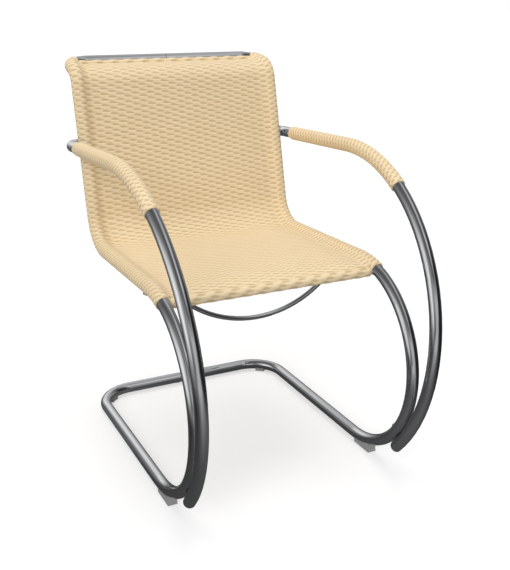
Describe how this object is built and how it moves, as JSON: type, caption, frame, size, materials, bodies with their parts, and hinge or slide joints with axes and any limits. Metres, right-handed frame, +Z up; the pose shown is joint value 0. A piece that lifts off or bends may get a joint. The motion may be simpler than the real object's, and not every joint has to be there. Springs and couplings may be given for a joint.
{
  "type": "cantilever lounge chair",
  "caption": "Cantilever armchair: a bent chromed tube frame with a woven cane seat and back and looped tube arms partly wrapped with cane.",
  "frame": {"origin": "on the floor under the middle of the chair's overall box", "axes": "+X across the chair, to the right as the picture's viewer faces it; +Y from the front towards the back; +Z up"},
  "size_m": [0.5582, 0.8103, 0.8239],
  "materials": {
    "chrome_tube": "polished",
    "steel": "plain",
    "cane": "natural rattan, satin",
    "plug_plastic": "satin",
    "washer_rubber": "matte",
    "glide_plastic": "translucent grey"
  },
  "bodies": {
    "root": {"frame_left": "chrome_tube", "frame_right": "chrome_tube", "top_joint_sleeve": "steel", "rear_joint_sleeve": "steel", "joint_screws": "steel", "front_edge_rod": "chrome_tube", "top_edge_rod": "chrome_tube", "seat_bow": "chrome_tube", "seat_bow_screws": "steel", "back_bow": "chrome_tube", "back_bow_screws": "steel", "arm_left": "chrome_tube", "arm_right": "chrome_tube", "arm_lower_plugs": "plug_plastic", "arm_upper_plugs": "plug_plastic", "arm_lower_screws": "steel", "arm_lower_washers": "washer_rubber", "arm_upper_screws": "steel", "rivet_nuts": "steel", "arm_wrap_left": "cane", "arm_wrap_right": "cane", "cane_wrap_left": "cane", "cane_wrap_right": "cane", "cane_mat": "cane", "cane_front_roll": "cane", "cane_top_roll": "cane", "glide_front_left": "glide_plastic", "glide_front_right": "glide_plastic", "glide_rear_left": "glide_plastic", "glide_rear_right": "glide_plastic"}
  },
  "joints": []
}
